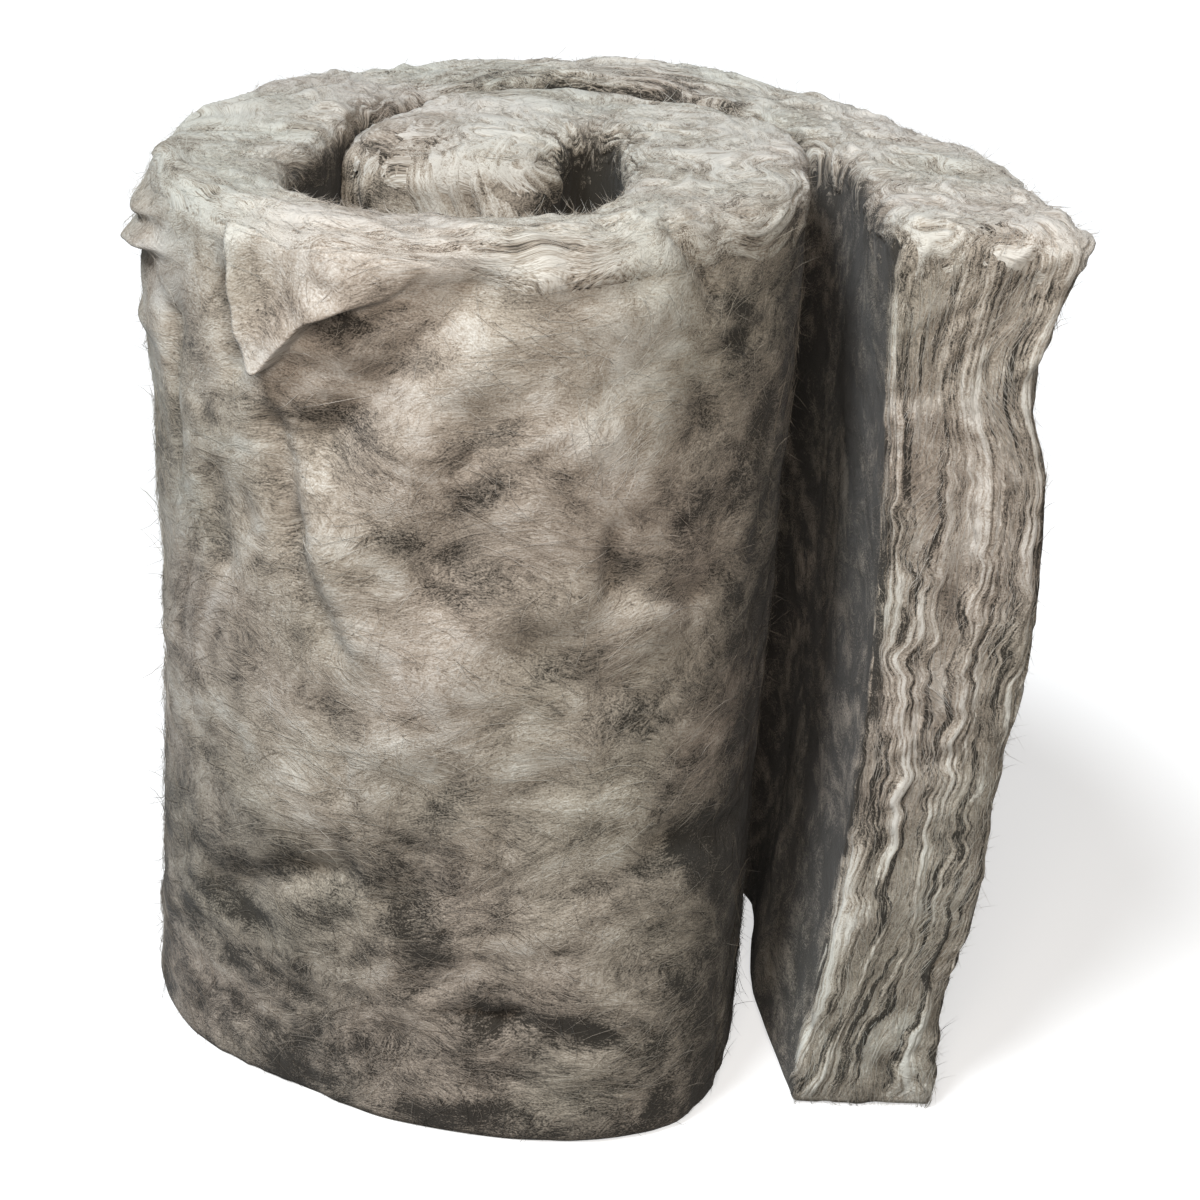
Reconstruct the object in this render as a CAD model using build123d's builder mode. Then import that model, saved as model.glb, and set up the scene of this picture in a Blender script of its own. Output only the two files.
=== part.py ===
"""Glass-wool insulation roll: one soft batt wound loosely on itself and stood on end.

The batt is a single strip of wool. Seen from above it starts at its inner end in the middle of
the roll, folds back on itself, runs round the drum once and carries on as a second, outer turn
whose end is peeled open into a flap. The wool has settled, so its faces swell and sink: the
roll's outline is drawn at several heights and lofted. Sizes are millimetres, +Z is up along the
winding axis, and the cut end of the flap faces -Y. The origin is the middle of the roll's
footprint, on the floor.
"""

import os
from math import cos, exp, pi, sin

from build123d import *

# The batt: its cut width stands upright as the height of the roll
batt_width = 406
batt_thickness = 72

# Softness of the wool's cut edges
end_corner_radius = 12
rim_radius = 8

# The winding, from the inner end outwards
tail_length = 16
tail_gap = 18
fold_radius = 24
side_run = 50
back_gap = 5
flap_gap = 24
flap_length = 128
flap_lean = 4

# Broad swells and hollows of both faces: (along, up, half length, half height, rise), where all but
# the rise are shares of the batt's length and width
outer_swells = (
    (0.280, 0.00, 0.035, 0.39, 24),
    (0.386, 0.00, 0.049, 0.32, -16),
    (0.275, 0.98, 0.029, 0.22, -10),
    (0.360, 0.86, 0.024, 0.13, -9),
    (0.325, 0.60, 0.028, 0.13, -4),
    (0.390, 0.34, 0.028, 0.13, 4),
    (0.345, 0.24, 0.028, 0.10, -4),
    (0.480, 0.45, 0.035, 0.30, -7),
    (0.535, 0.50, 0.050, 0.90, -4),
)
inner_swells = (
    (0.354, 0.80, 0.058, 0.90, -20),
    (0.703, 0.80, 0.085, 0.90, -18),
)

# Lumps all over the outer turn: waves as (turns along the batt, turns up it, phase), and their rise
lump_waves = ((8, 1.0, 0.4), (5, -2.0, 2.1), (-3, 2.5, 4.0), (7, -1.2, 5.2))
lump_rise = 1.7

# The flap's cut end sways as it goes up: how far its inner edge, its outer edge and its end are
# pushed out, in even steps from foot to top
flap_pushes = ((6, -9, 12), (-2, -15, 9), (-6, 0, 4), (-10, 10, 0), (-7, 8, 0), (-2, -4, 0), (4, 8, 0))
flap_sway_start = 0.86

# Steps of the outline along the batt, stretches round it, and steps of the outlines round a rim and
# up the wall
outline_steps = 32
outline_stretches = 6
rim_steps = 3
wall_steps = 14

# Radii of the batt's middle line, each set by the turn or the gap inside it
fold_turn_radius = fold_radius + batt_thickness / 2
bore_radius = fold_radius + (batt_thickness + tail_gap) / 2
drum_turn_radius = bore_radius + batt_thickness / 2
outer_turn_radius = bore_radius + batt_thickness + flap_gap / 2

# Straight run on the far side of the drum that brings the outer turn clear of the fold
far_run = side_run + fold_turn_radius + batt_thickness + back_gap - outer_turn_radius

# Middle line of the batt, tangent all the way from the inner end to the flap
with BuildLine() as winding:
    tail = Line((0, -tail_length), (0, 0))
    fold = JernArc(tail @ 1, tail % 1, fold_turn_radius, -180)
    side = Line(fold @ 1, (fold @ 1) + (fold % 1) * side_run)
    drum = JernArc(side @ 1, side % 1, drum_turn_radius, -180)
    far_side = Line(drum @ 1, (drum @ 1) + (drum % 1) * far_run)
    outer_turn = JernArc(far_side @ 1, far_side % 1, outer_turn_radius, flap_lean - 180)
    flap = Line(outer_turn @ 1, (outer_turn @ 1) + (outer_turn % 1) * flap_length)
middle_line = winding.wire()
batt_length = middle_line.length


def ramp(value, low, high):
    """Rises smoothly from 0 at low to 1 at high."""
    share = min(max((value - low) / (high - low), 0), 1)
    return share * share * (3 - 2 * share)


def bells(swells, along, up):
    """Height of bell-shaped swells at a place on a face."""
    return sum(
        rise * exp(-(((along - middle) / half_length) ** 2) - ((up - height) / half_height) ** 2)
        for middle, height, half_length, half_height, rise in swells
    )


def lumps(along, up):
    """Height of the lumps at a place on the outer face, which only the outer turn has."""
    height = sum(
        lump_rise * cos(2 * pi * (turns * along + rows * up) + phase)
        for turns, rows, phase in lump_waves
    )
    return height * ramp(along, 0.50, 0.56)


def flap_row(up):
    """Pushes of the flap's inner edge, outer edge and end at a share of the width."""
    row = up * (len(flap_pushes) - 1)
    lower = min(int(row), len(flap_pushes) - 2)
    rows = zip(flap_pushes[lower], flap_pushes[lower + 1])
    return [low + (high - low) * (row - lower) for low, high in rows]


def place(distance, share, up, inset):
    """Point of the outline at a share of the width, this far along the batt and at this share of its
    thickness, from 0 on the inner face to 1 on the outer one. The outline lies inset from the faces."""
    along = distance / batt_length
    inner_push, outer_push, end_push = flap_row(up)
    sway = ramp(along, flap_sway_start, 1)
    half = batt_thickness / 2
    outer = half + bells(outer_swells, along, up) + lumps(along, up) + sway * outer_push - inset
    inner = half + bells(inner_swells, along, up) + sway * inner_push - inset
    forward = middle_line.tangent_at(distance, PositionMode.LENGTH)
    outward = forward.rotate(Axis.Z, 90)
    middle = middle_line.position_at(distance, PositionMode.LENGTH)
    forth = sway * end_push + inset * (1 - 2 * along)
    return middle + outward * (share * outer - (1 - share) * inner) + forward * forth


def outline(up, inset):
    """Points round the batt at a share of the width: along its outer face, round the cut end of the
    flap, back along its inner face and round the inner end. They lie closer together near the ends."""
    corner = 1 - cos(pi / 4)
    corner_share = end_corner_radius / batt_thickness
    end = (
        (1 - corner * corner_share, corner * end_corner_radius),
        (1 - corner_share, 0),
        (0.5, 0),
        (corner_share, 0),
        (corner * corner_share, corner * end_corner_radius),
    )
    run = batt_length - 2 * end_corner_radius
    turns = [2 * pi * k / outline_steps for k in range(outline_steps + 1)]
    stations = [end_corner_radius + run * (turn - 0.4 * sin(turn)) / (2 * pi) for turn in turns]
    outer_face = [place(station, 1, up, inset) for station in stations]
    cut_end = [place(batt_length - back, share, up, inset) for share, back in end]
    inner_face = [place(station, 0, up, inset) for station in reversed(stations)]
    inner_end = [place(back, share, up, inset) for share, back in reversed(end)]
    return outer_face + cut_end + inner_face + inner_end


# Distances round the outline at half height, which all heights share so that their points match
points = outline(0.5, 0)
gaps = [(after - before).length for before, after in zip(points, points[1:] + points[:1])]
distances = [sum(gaps[:k]) for k in range(len(gaps) + 1)]


def stretches(height, inset):
    """Splines round the batt at a height, which run smoothly on from one another."""
    points = [point + Vector(0, 0, height) for point in outline(height / batt_width, inset)]
    count = len(points)
    ways = [
        (points[(k + 1) % count] - points[k - 1]) / (gaps[k] + gaps[k - 1])
        for k in range(count)
    ]
    points.append(points[0])
    ways.append(ways[0])
    breaks = [round(count * k / outline_stretches) for k in range(outline_stretches + 1)]
    return [
        Edge.make_spline(
            points[first : last + 1],
            tangents=(ways[first], ways[last]),
            parameters=distances[first : last + 1],
            scale=False,
        )
        for first, last in zip(breaks, breaks[1:])
    ]


# Heights of the outlines, each with its inset: round the foot's soft rim, up the wall, round the top's
turns = [pi / 2 * k / rim_steps for k in range(rim_steps)]
foot = [(rim_radius * (1 - sin(turn)), rim_radius * (1 - cos(turn))) for turn in reversed(turns)]
foot.insert(0, (0, rim_radius))
wall_height = batt_width - 2 * rim_radius
wall = [(rim_radius + wall_height * k / wall_steps, 0) for k in range(1, wall_steps)]
top = [(batt_width - height, inset) for height, inset in reversed(foot)]

# The settled roll: each stretch of its outlines joined from foot to top, and both ends closed
levels = [stretches(height, inset) for height, inset in foot + wall + top]
sides = [Shell.make_loft([Wire([edge]) for edge in column], ruled=True) for column in zip(*levels)]
faces = [face for side in sides for face in side.faces()]
ends = [Face(Wire(levels[0])), Face(Wire(levels[-1]))]
with BuildPart() as roll:
    add(Solid(Shell(faces + ends)))

# The roll stands with the middle of its footprint at the origin
middle = roll.part.bounding_box().center()
with BuildPart() as wool_batt:
    with Locations((-middle.X, -middle.Y, 0)):
        add(roll.part)

wool_batt.part.label = "wool_batt"

os.makedirs("parts", exist_ok=True)
export_step(wool_batt.part, "parts/wool_batt.step")
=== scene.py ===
"""Looks of a glass-wool insulation roll: a soft lumpy batt, wound loosely and stood on end.

The batt is worked out in strip coordinates, in metres: along its winding from the inner end,
across its thickness from the middle (positive towards the outer face), and up its width.
"""

import bpy
import numpy as np
from mathutils import Matrix, Vector


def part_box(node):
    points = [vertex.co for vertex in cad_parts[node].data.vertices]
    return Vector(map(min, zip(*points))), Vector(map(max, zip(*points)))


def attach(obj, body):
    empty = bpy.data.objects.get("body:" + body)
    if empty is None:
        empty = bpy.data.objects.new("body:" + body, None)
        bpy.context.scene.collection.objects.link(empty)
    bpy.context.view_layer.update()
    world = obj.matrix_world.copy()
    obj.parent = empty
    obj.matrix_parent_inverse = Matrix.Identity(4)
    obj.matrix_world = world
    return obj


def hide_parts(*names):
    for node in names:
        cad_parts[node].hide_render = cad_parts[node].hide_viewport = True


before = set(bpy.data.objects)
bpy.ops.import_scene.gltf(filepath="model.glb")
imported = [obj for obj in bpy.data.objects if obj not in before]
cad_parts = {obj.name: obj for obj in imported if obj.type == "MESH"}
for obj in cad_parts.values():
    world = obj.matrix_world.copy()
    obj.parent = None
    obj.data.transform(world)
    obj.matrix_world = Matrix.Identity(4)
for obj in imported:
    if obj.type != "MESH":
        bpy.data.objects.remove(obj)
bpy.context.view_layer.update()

bl_info = {
    "name": "Insulation roll",
    "version": (1, 0, 0),
    "blender": (4, 5, 0),
    "location": "View3D > Sidebar > Wool",
    "description": "Builds a loosely wound glass-wool batt standing on end, with its stage",
    "category": "Add Mesh",
}

BODY = "root"
NODE = "wool_batt"
BOX_LOW, BOX_HIGH = (np.array(corner, float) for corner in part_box(NODE))
ROLL_HEIGHT = float(BOX_HIGH[2] - BOX_LOW[2])
BAKE_MAP = "OFBake"

# How far each face swells out near the folded inner end: (along, push) in metres
OUTER_PUSH = (
    (0.00, 0.017), (0.04, 0.017), (0.08, 0.011), (0.12, 0.005), (0.17, 0.005), (0.21, 0.003),
    (0.26, 0.000), (1.22, 0.000),
)
INNER_PUSH = (
    (0.00, 0.013), (0.05, 0.012), (0.10, 0.010), (0.14, 0.006), (0.20, 0.008), (0.26, 0.006),
    (0.32, 0.000), (0.58, 0.000), (0.64, 0.004), (0.70, 0.002), (0.76, 0.000), (1.22, 0.000),
)
# Broad swells and hollows of both faces: (along, up, half length, half height, rise), where all but
# the rise are shares of the batt's length and width
OUTER_SWELLS = (
    (0.280, 0.00, 0.035, 0.39, 0.024), (0.386, 0.00, 0.049, 0.32, -0.016),
    (0.275, 0.98, 0.029, 0.22, -0.010), (0.480, 0.45, 0.035, 0.30, -0.007),
    (0.535, 0.50, 0.050, 0.90, -0.004), (0.469, 0.84, 0.033, 0.10, 0.003),
)
INNER_SWELLS = (
    (0.354, 0.80, 0.058, 0.90, -0.020), (0.703, 0.80, 0.085, 0.90, -0.018),
    (0.411, 1.00, 0.024, 0.30, -0.018), (0.452, 1.00, 0.034, 0.30, -0.013),
    (0.921, 0.00, 0.058, 0.17, 0.014),
)
# Lumps of the outer turn: waves as (turns along the batt, turns up it, phase), and their rise
LUMP_WAVES = ((8, 1.0, 0.4), (5, -2.0, 2.1), (-3, 2.5, 4.0), (7, -1.2, 5.2))
LUMP_RISE = 0.0017
# How far the top rim rises over an even cut: (along, rise)
RIM_RISE = (
    (0.00, -0.003), (0.06, 0.000), (0.11, 0.002), (0.20, 0.003), (0.30, 0.006), (0.35, 0.006),
    (0.42, 0.003), (0.50, 0.002), (0.56, 0.000), (0.62, -0.002), (0.66, 0.002), (0.70, 0.003),
    (0.75, -0.002), (0.79, 0.001), (0.84, 0.005), (0.90, 0.003), (0.94, -0.001), (1.00, -0.001),
    (1.05, -0.002), (1.10, 0.000), (1.16, 0.002), (1.22, 0.005),
)
# How far the top rim slopes down towards its inner edge: (along, drop)
RIM_SLOPE = (
    (0.00, 0.000), (0.18, 0.000), (0.24, 0.006), (0.34, 0.006), (0.42, 0.006),
    (0.52, 0.005), (0.60, 0.000), (1.22, 0.000),
)
# How far the flap's cut end reaches out, further at its foot: (up, reach)
FLAP_REACH = ((0.00, 0.012), (0.08, 0.008), (0.20, 0.000), (0.406, 0.000))
# Edges of the flap's cut end, which sways as it goes up: (up, across)
FLAP_INNER_EDGE = (
    (0.000, -0.042), (0.060, -0.034), (0.128, -0.030), (0.202, -0.026), (0.294, -0.030),
    (0.406, -0.040),
)
FLAP_OUTER_EDGE = (
    (0.000, 0.022), (0.027, 0.019), (0.060, 0.018), (0.085, 0.030), (0.120, 0.039),
    (0.180, 0.041), (0.252, 0.038), (0.300, 0.038), (0.342, 0.023), (0.383, 0.037),
    (0.406, 0.043),
)
# Furrows in the drum's outer face: (from (along, up), to (along, up), half width, depth)
FURROWS = (
    ((0.412, 0.386), (0.458, 0.317), 0.013, 0.011),
    ((0.495, 0.371), (0.490, 0.340), 0.005, 0.006),
    ((0.525, 0.348), (0.522, 0.293), 0.005, 0.005),
    ((0.476, 0.320), (0.467, 0.276), 0.006, 0.006),
    ((0.467, 0.276), (0.451, 0.232), 0.006, 0.005),
    ((0.462, 0.295), (0.444, 0.238), 0.010, -0.004),
    ((0.410, 0.329), (0.420, 0.260), 0.015, 0.005),
    ((0.366, 0.284), (0.366, 0.262), 0.004, 0.004),
    ((0.363, 0.260), (0.332, 0.248), 0.006, 0.004),
    ((0.392, 0.234), (0.366, 0.216), 0.012, 0.004),
    ((0.346, 0.144), (0.302, 0.128), 0.007, 0.004),
    ((0.346, 0.400), (0.328, 0.373), 0.004, 0.005),
    ((0.409, 0.377), (0.358, 0.383), 0.006, 0.0025),
    ((0.504, 0.093), (0.450, 0.125), 0.010, 0.005),
    ((0.412, 0.062), (0.390, 0.063), 0.005, 0.004),
    ((0.450, 0.182), (0.449, 0.163), 0.003, 0.004),
    ((0.500, 0.289), (0.496, 0.256), 0.008, 0.005),
    ((0.429, 0.105), (0.418, 0.170), 0.014, 0.004),
)
# Hollows and crowns of the drum's outer face: (along, up, half length, half height, rise)
SWELLS = (
    (0.455, 0.350, 0.018, 0.035, -0.005), (0.435, 0.382, 0.016, 0.012, -0.003),
    (0.497, 0.372, 0.007, 0.016, -0.005), (0.520, 0.345, 0.006, 0.014, -0.004),
    (0.487, 0.280, 0.006, 0.012, -0.004), (0.470, 0.290, 0.008, 0.020, -0.004),
    (0.454, 0.200, 0.009, 0.016, -0.003), (0.412, 0.270, 0.014, 0.016, -0.003),
    (0.388, 0.235, 0.016, 0.012, -0.003), (0.364, 0.265, 0.007, 0.012, -0.004),
    (0.333, 0.325, 0.010, 0.015, -0.003), (0.420, 0.118, 0.018, 0.010, -0.003),
    (0.462, 0.120, 0.016, 0.006, -0.003), (0.418, 0.078, 0.010, 0.014, -0.003),
    (0.395, 0.065, 0.009, 0.007, -0.004), (0.388, 0.035, 0.010, 0.010, -0.003),
    (0.428, 0.045, 0.010, 0.010, -0.003), (0.492, 0.098, 0.010, 0.020, -0.002),
    (0.384, 0.185, 0.012, 0.010, -0.002), (0.398, 0.150, 0.008, 0.025, -0.002),
    (0.358, 0.372, 0.022, 0.016, 0.003), (0.388, 0.385, 0.020, 0.014, 0.002),
    (0.380, 0.325, 0.016, 0.012, 0.003), (0.360, 0.300, 0.010, 0.012, 0.002),
    (0.430, 0.325, 0.012, 0.025, 0.002), (0.455, 0.268, 0.008, 0.025, 0.003),
    (0.418, 0.222, 0.012, 0.014, 0.003), (0.432, 0.188, 0.012, 0.012, 0.003),
    (0.414, 0.160, 0.010, 0.012, 0.003), (0.476, 0.150, 0.016, 0.014, 0.004),
    (0.350, 0.243, 0.012, 0.012, 0.003), (0.378, 0.258, 0.010, 0.012, 0.002),
    (0.370, 0.165, 0.016, 0.010, 0.002), (0.382, 0.108, 0.012, 0.010, 0.002),
    (0.432, 0.103, 0.010, 0.010, 0.002), (0.470, 0.090, 0.014, 0.012, 0.002),
    (0.372, 0.042, 0.018, 0.010, 0.002), (0.396, 0.066, 0.004, 0.003, 0.004),
    (0.505, 0.290, 0.010, 0.014, 0.002),
)
# How rough the outer face is, most on the outer turn: (along, share of the lumps)
ROUGHNESS = (
    (0.00, 0.35), (0.20, 0.35), (0.27, 0.40), (0.58, 0.40), (0.68, 1.00),
    (1.05, 0.90), (1.22, 0.35),
)
# Torn edge of the tuft on the drum's outer face, as (along, up), and how far the tuft stands off behind
# it, as (along, lift)
TORN_EDGE = (
    (0.425, 0.394), (0.437, 0.378), (0.450, 0.373), (0.461, 0.367), (0.468, 0.356),
    (0.476, 0.343), (0.482, 0.352), (0.489, 0.378), (0.494, 0.400),
)
TORN_LIFT = (
    (0.425, 0.000), (0.440, 0.004), (0.460, 0.007), (0.476, 0.011), (0.488, 0.007),
    (0.497, 0.000),
)
# Shreds on the drum's left: (along, up, half length, half height, lift)
SHREDS = (
    (0.556, 0.389, 0.016, 0.004, 0.007), (0.553, 0.377, 0.020, 0.004, 0.009),
    (0.552, 0.340, 0.020, 0.006, 0.003),
)


class BattSizes(bpy.types.PropertyGroup):
    """Sizes of the batt and of its winding, from the inner end outwards."""

    thickness: bpy.props.FloatProperty(
        name="Thickness", description="Thickness of the batt", default=0.072, unit="LENGTH")
    tail_length: bpy.props.FloatProperty(
        name="Tail", description="Straight run at the inner end", default=0.016, unit="LENGTH")
    tail_gap: bpy.props.FloatProperty(
        name="Tail gap", description="Gap between the tail and the drum's wall", default=0.018, unit="LENGTH")
    fold_radius: bpy.props.FloatProperty(
        name="Fold", description="Radius inside the hairpin fold", default=0.024, unit="LENGTH")
    side_run: bpy.props.FloatProperty(
        name="Side run", description="Straight run beside the hollow", default=0.050, unit="LENGTH")
    back_gap: bpy.props.FloatProperty(
        name="Back gap", description="Gap between the turns at the back", default=0.005, unit="LENGTH")
    flap_gap: bpy.props.FloatProperty(
        name="Flap gap", description="Gap between the drum and the flap", default=0.024, unit="LENGTH")
    flap_length: bpy.props.FloatProperty(
        name="Flap", description="Straight run of the peeled outer end", default=0.128, unit="LENGTH")
    flap_lean: bpy.props.FloatProperty(
        name="Flap lean", description="Turn by which the flap opens outwards", default=np.radians(4),
        subtype="ANGLE")
    softness: bpy.props.FloatProperty(
        name="Softness", description="Rounding of the cut edges", default=0.011, unit="LENGTH")
    fibre_thickness: bpy.props.FloatProperty(
        name="Fibre", description="Thickness of a loose strand of fibres", default=0.00016, unit="LENGTH")


class WoolColours(bpy.types.PropertyGroup):
    """Colours of the wool, as linear values."""

    # The ramp's pale end: the wool's palest tone, also used for the painted light on crowns and top faces.
    pale: bpy.props.FloatVectorProperty(
        name="Pale", description="Crowns of the wool", default=(0.65, 0.62, 0.575), size=3,
        subtype="COLOR", min=0, max=1)
    middle: bpy.props.FloatVectorProperty(
        name="Middle", description="Body of the wool", default=(0.385, 0.33, 0.275), size=3,
        subtype="COLOR", min=0, max=1)
    # The ramp's dark end: painted shade in hollows, furrows and gaps and inside the turns.
    shade: bpy.props.FloatVectorProperty(
        name="Shade", description="Dark hollows between the lumps", default=(0.036, 0.031, 0.025), size=3,
        subtype="COLOR", min=0, max=1)
    cool: bpy.props.FloatVectorProperty(
        name="Cool", description="Tint of the greyer patches", default=(0.95, 1.0, 0.985), size=3,
        subtype="COLOR", min=0, max=1)


class Winding:
    """The batt's middle line, seen from above, as tangent stretches that each turn clockwise."""

    def __init__(self, sizes):
        half = sizes.thickness / 2
        fold = sizes.fold_radius + half
        bore = sizes.fold_radius + half + sizes.tail_gap / 2
        drum = bore + half
        outer = bore + sizes.thickness + sizes.flap_gap / 2
        far_run = sizes.side_run + fold + sizes.thickness + sizes.back_gap - outer
        lengths = [sizes.tail_length, np.pi * fold, sizes.side_run, np.pi * drum, far_run,
                   (np.pi - sizes.flap_lean) * outer, sizes.flap_length]
        turns = [0, np.pi, 0, np.pi, 0, np.pi - sizes.flap_lean, 0]
        self.marks = np.concatenate([[0], np.cumsum(lengths)])
        self.headings = np.pi / 2 - np.concatenate([[0], np.cumsum(turns)])
        self.length = float(self.marks[-1])
        self.steps = np.linspace(0, self.length, 6001)
        middles = (self.steps[1:] + self.steps[:-1]) / 2
        heading = np.interp(middles, self.marks, self.headings)
        moves = np.diff(self.steps)[:, None] * np.stack([np.cos(heading), np.sin(heading)], 1)
        self.points = np.concatenate([np.zeros((1, 2)), np.cumsum(moves, 0)])

    def at(self, along, across, up=0.0):
        """Points in the row frame: the middle line's point, moved outwards by across and raised by up.
        Past either end the middle line goes straight on."""
        along, across, up = np.broadcast_arrays(along, across, up)
        inside = np.clip(along, 0, self.length)
        heading = np.interp(inside, self.marks, self.headings)
        forward = np.stack([np.cos(heading), np.sin(heading)], 1)
        outward = np.stack([-np.sin(heading), np.cos(heading)], 1)
        middle = np.stack([np.interp(inside, self.steps, self.points[:, k]) for k in range(2)], 1)
        flat = middle + outward * across[:, None] + forward * (along - inside)[:, None]
        return np.column_stack([flat, up])


def waves(places, wavelength, seed, count=28):
    """Smooth noise of unit spread: a sum of cosines with random directions, phases and lengths near
    the wavelength, which may differ along the three axes."""
    draw = np.random.default_rng(seed)
    directions = draw.normal(size=(count, 3))
    directions /= np.linalg.norm(directions, axis=1, keepdims=True)
    stretch = draw.uniform(0.7, 1.5, (count, 1)) * np.broadcast_to(wavelength, 3)
    turns = places @ (2 * np.pi * directions / stretch).T
    return np.cos(turns + draw.uniform(0, 2 * np.pi, count)).sum(1) * np.sqrt(2 / count)


def billows(places, wavelength, seed):
    """Round lumps with narrow creases between them: the size of a smooth noise, less its mean."""
    return np.sqrt(waves(places, wavelength, seed) ** 2 + 0.03) - 0.82


def ramp(values, low, high):
    """Rises smoothly from 0 at low to 1 at high."""
    share = np.clip((values - low) / (high - low), 0, 1)
    return share * share * (3 - 2 * share)


def bells(swells, along, up):
    """Height of bell-shaped swells at places along the batt and up it."""
    return sum(rise * np.exp(-((along - middle) / half_length) ** 2 - ((up - height) / half_height) ** 2)
               for middle, height, half_length, half_height, rise in swells)


def through(table, values):
    """A smooth line through a short table of (place, value) rows: linear, then averaged nearby."""
    places, heights = np.array(table).T
    reach = np.ptp(places) / len(places) / 3
    shifts = np.linspace(-reach, reach, 7)
    return np.mean([np.interp(values + shift, places, heights) for shift in shifts], 0)


class Batt:
    """The settled batt: where a point of the even strip lies once the wool has sagged and swollen."""

    def __init__(self, sizes):
        self.winding = Winding(sizes)
        self.thickness = sizes.thickness
        self.softness = sizes.softness
        self.low = np.array([0, -sizes.thickness / 2, 0])
        self.high = np.array([self.winding.length, sizes.thickness / 2, ROLL_HEIGHT])
        self.flap_start = self.winding.marks[-2]
        # Places on the drum's outer face lie further apart than on the middle line
        self.outer_stretch = (sizes.fold_radius + sizes.tail_gap / 2 + 1.5 * sizes.thickness) / (
            sizes.fold_radius + sizes.tail_gap / 2 + sizes.thickness)
        self.centre()

    def centre(self):
        """Moves the winding so that the settled outer turn meets the left and the back of the solid's box."""
        along, up = (value.ravel() for value in np.meshgrid(
            np.linspace(0, self.high[0], 1201), np.linspace(0, ROLL_HEIGHT, 9)))
        outer = self.winding.at(along, self.high[1] + self.pushes(along, up)[0])
        self.winding.points += (BOX_LOW[0] - outer[:, 0].min(), BOX_HIGH[1] - outer[:, 1].max())

    def pushes(self, along, up):
        """How far the outer and the inner face of the settled batt stand out from an even strip: broad
        swells, lumps on the outer turn, and the sway of the flap's end."""
        share, rise = along / self.high[0], up / ROLL_HEIGHT
        flap = self.flap_share(along)
        lumps = sum(LUMP_RISE * np.cos(2 * np.pi * (turns * share + rows * rise) + phase)
                    for turns, rows, phase in LUMP_WAVES)
        outer = bells(OUTER_SWELLS, share, rise) + lumps * ramp(share, 0.50, 0.56)
        inner = bells(INNER_SWELLS, share, rise)
        return (outer + flap * (through(FLAP_OUTER_EDGE, up) - self.high[1]),
                inner + flap * (self.low[1] - through(FLAP_INNER_EDGE, up)))

    def flap_share(self, along):
        """0 up to the flap, rising to 1 at its cut end."""
        return ramp(along, self.flap_start - 0.04, self.high[0])

    def rounded(self, places):
        """Rounds the strip's edges: each place on its box moves to the softness from a smaller box
        inside. The foot is sharper, and the inner end and the front rim are rounder near the top. Returns
        the places and their outward normals."""
        along, _, up = places.T
        curled = (1 - ramp(along, 0.0, 0.08)) * ramp(up, 0.3, 0.4)
        front = ramp(along, 0.28, 0.36) * (1 - ramp(along, 0.46, 0.54)) * ramp(up, 0.3, 0.4)
        softness = self.softness * (0.3 + 0.7 * ramp(up, 0.0, 0.08)) + 0.013 * curled + 0.011 * front
        softness = softness[:, None]
        inner = np.clip(places, self.low + softness, self.high - softness)
        away = places - inner
        normals = away / np.linalg.norm(away, axis=1, keepdims=True)
        return inner + normals * softness, normals

    def furrow_depth(self, strip):
        """Depth of the furrows in the outer face: a bell curve of the distance to each one's line."""
        scale = np.array([self.outer_stretch, 1])
        spots = strip[:, [0, 2]] * scale
        depth = np.zeros(len(strip))
        for start, end, half_width, deep in FURROWS:
            start, end = np.array(start) * scale, np.array(end) * scale
            run = end - start
            share = np.clip((spots - start) @ run / (run @ run), 0, 1)
            gap = np.linalg.norm(spots - start - share[:, None] * run, axis=1)
            depth += deep * np.exp(-(gap / half_width) ** 2)
        return depth

    def settled(self, strip, normals):
        """The strip's places once settled, and how high each stands on its lumps, in metres. Each face
        is pushed out or in along the winding, the flap's end sways, the rim rises, and the lumps and
        furrows move each place along its normal."""
        along, across, up = strip.T
        outer, inner = self.pushes(along, up)
        outer = outer + through(OUTER_PUSH, along)
        inner = inner + through(INNER_PUSH, along)
        share = across / self.thickness + 0.5
        moved = strip.copy()
        moved[:, 1] += share * outer - (1 - share) * inner
        rise = through(RIM_RISE, along) - (1 - share) * through(RIM_SLOPE, along)
        moved[:, 2] += rise * ramp(up, 0.3 * ROLL_HEIGHT, ROLL_HEIGHT)
        moved[:, 0] += self.flap_share(along) * through(FLAP_REACH, up)
        facing_out, facing_in = np.maximum(normals[:, 1], 0), np.maximum(-normals[:, 1], 0)
        facing_up, facing_down = np.maximum(normals[:, 2], 0), np.maximum(-normals[:, 2], 0)
        size = facing_out * through(ROUGHNESS, along) + 0.2 * facing_in + 0.6 * facing_up
        size = size + 0.5 * np.abs(normals[:, 0])
        swirled = self.swirled(strip)
        lumps = 0.0010 * waves(swirled, (0.08, 0.06, 0.05), 3) + 0.0014 * billows(swirled, 0.05, 5)
        lumps = size * (lumps + 0.0005 * waves(swirled, 0.018, 7)) - facing_down * 0.0005
        for middle, height, half_length, half_height, rise in SWELLS:
            spread = ((along - middle) / half_length) ** 2 + ((up - height) / half_height) ** 2
            lumps = lumps + facing_out * rise * np.exp(-spread)
        lumps = lumps - facing_out * self.furrow_depth(strip)
        return moved + normals * lumps[:, None], lumps

    def torn_height(self, along, up):
        """How far the torn tuft and the shreds stand off the drum's outer face. The tuft is steep at its
        torn edge and sinks back above it, and the shreds are bell-shaped."""
        above = up - through(TORN_EDGE, along)
        tuft = through(TORN_LIFT, along) * ramp(above, -0.001, 0.004)
        return tuft * np.exp(-(np.maximum(above, 0) / 0.021) ** 2) + bells(SHREDS, along, up)

    def swirled(self, strip):
        """Strip places drawn about by a slow noise, so that what is laid on them curls."""
        return strip + 0.02 * np.stack([waves(strip, 0.12, 20 + k) for k in range(3)], 1)

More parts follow.
